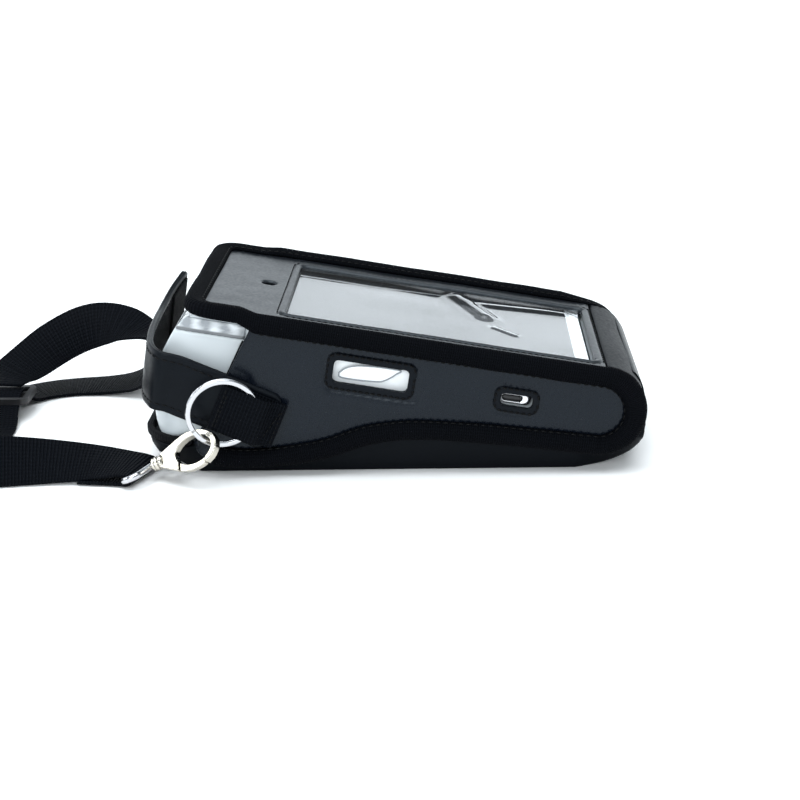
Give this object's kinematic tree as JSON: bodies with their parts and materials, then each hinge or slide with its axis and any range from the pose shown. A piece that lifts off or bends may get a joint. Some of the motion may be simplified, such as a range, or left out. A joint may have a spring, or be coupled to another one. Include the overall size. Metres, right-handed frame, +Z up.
{
  "type": "leather carrying case for a handheld card terminal",
  "caption": "Fitted leather carrying case on a shoulder strap, with a clear window over a handheld card terminal and a wrap-round closure strap.",
  "frame": {"origin": "bottom centre of the case's box, without the shoulder strap, on the surface it lies on", "axes": "+X to the slim card end, -X to the open printer end, +Y to the far side, which has no cut-outs, +Z up out of the surface"},
  "size_m": [0.3652, 0.119, 0.0666],
  "materials": {
    "binding_tape": "ribbed woven tape",
    "clasp_metal": "polished, warm white",
    "clear_film": "clear, wavy",
    "clear_plastic": "clear",
    "dark_plastic": "fine grain",
    "display_glass": "gloss",
    "key_trim": "satin",
    "leather": "smooth, satin",
    "ring_steel": "polished nickel",
    "slider_plastic": "fine grain",
    "terminal_white": "white, gloss",
    "touch_fastener": "hook and loop",
    "trim_leather": "smooth, stitched",
    "webbing": "woven webbing"
  },
  "bodies": {
    "case": {"back_panel": "leather", "card_patch": "trim_leather", "closure_strap_base": "trim_leather", "display_glass": "display_glass", "eye_far": "clasp_metal", "eye_near": "clasp_metal", "front_panel": "leather", "key_bezel": "key_trim", "key_frame": "trim_leather", "lip_binding": "binding_tape", "loop_tape": "touch_fastener", "mouth_binding": "binding_tape", "port_frame": "trim_leather", "port_surround": "terminal_white", "printer_window": "clear_plastic", "ring_tab_far": "webbing", "ring_tab_near": "webbing", "seam_binding_far": "binding_tape", "seam_binding_near": "binding_tape", "sensor_window": "display_glass", "side_edge_tape_far": "binding_tape", "side_edge_tape_near": "binding_tape", "side_panel_far": "leather", "side_panel_near": "leather", "strap_far_run": "webbing", "strap_near_run": "webbing", "strap_return_run": "webbing", "strap_roll": "webbing", "strap_slider": "slider_plastic", "tab_pad_far": "trim_leather", "terminal_bezel": "terminal_white", "terminal_body": "terminal_white", "window_film": "clear_film"},
    "closure_strap": {"closure_strap": "trim_leather", "hook_tape": "touch_fastener"},
    "ring_near": {"split_ring_near": "ring_steel"},
    "ring_far": {"split_ring_far": "ring_steel"},
    "clasp_near": {"clasp_near": "clasp_metal"},
    "clasp_far": {"clasp_far": "clasp_metal"},
    "gate_near": {"gate_near": "clasp_metal"},
    "gate_far": {"gate_far": "clasp_metal"},
    "port_cover": {"port_cover": "terminal_white"},
    "side_key": {"side_key": "dark_plastic"}
  },
  "joints": [
    {"name": "closure_strap_hinge", "type": "hinge", "parent": "case", "child": "closure_strap", "pos_m": [-0.07791, -0.04415, 0.03665], "axis": [0.1736, 0, 0.9848], "range_deg": [0, 95]},
    {"name": "ring_near_spin", "type": "hinge", "parent": "case", "child": "ring_near", "pos_m": [-0.05876, -0.05115, 0.02715], "axis": [-0.2217, 0.9703, 0.0969], "continuous": true},
    {"name": "ring_far_spin", "type": "hinge", "parent": "case", "child": "ring_far", "pos_m": [-0.05876, 0.05115, 0.02715], "axis": [0.2217, 0.9703, -0.0969], "continuous": true},
    {"name": "clasp_near_swivel", "type": "hinge", "parent": "case", "child": "clasp_near", "pos_m": [-0.0843, -0.0461, 0.0063], "axis": [0.8536, -0.3278, 0.4048], "range_deg": [-15, 3]},
    {"name": "clasp_far_swivel", "type": "hinge", "parent": "case", "child": "clasp_far", "pos_m": [-0.0915, 0.049, 0.021], "axis": [0.9656, 0.2579, -0.033], "range_deg": [-3, 15]},
    {"name": "gate_near_pivot", "type": "hinge", "parent": "clasp_near", "child": "gate_near", "pos_m": [-0.0732, -0.05345, 0.00758], "axis": [-0.5107, -0.6797, 0.5265], "range_deg": [0, 14], "stiffness_Nm_per_rad": 0.05},
    {"name": "gate_far_pivot", "type": "hinge", "parent": "clasp_far", "child": "gate_far", "pos_m": [-0.08062, 0.0559, 0.01742], "axis": [0.1391, -0.6196, -0.7725], "range_deg": [0, 14], "stiffness_Nm_per_rad": 0.05},
    {"name": "port_cover_hinge", "type": "hinge", "parent": "case", "child": "port_cover", "pos_m": [-0.0175, -0.04045, 0.0395], "axis": [-0.1733, 0, -0.9849], "range_deg": [0, 70]},
    {"name": "side_key_press", "type": "slide", "parent": "case", "child": "side_key", "axis": [0, 1, 0], "range_m": [0, 0.0005], "stiffness_N_per_m": 600}
  ]
}
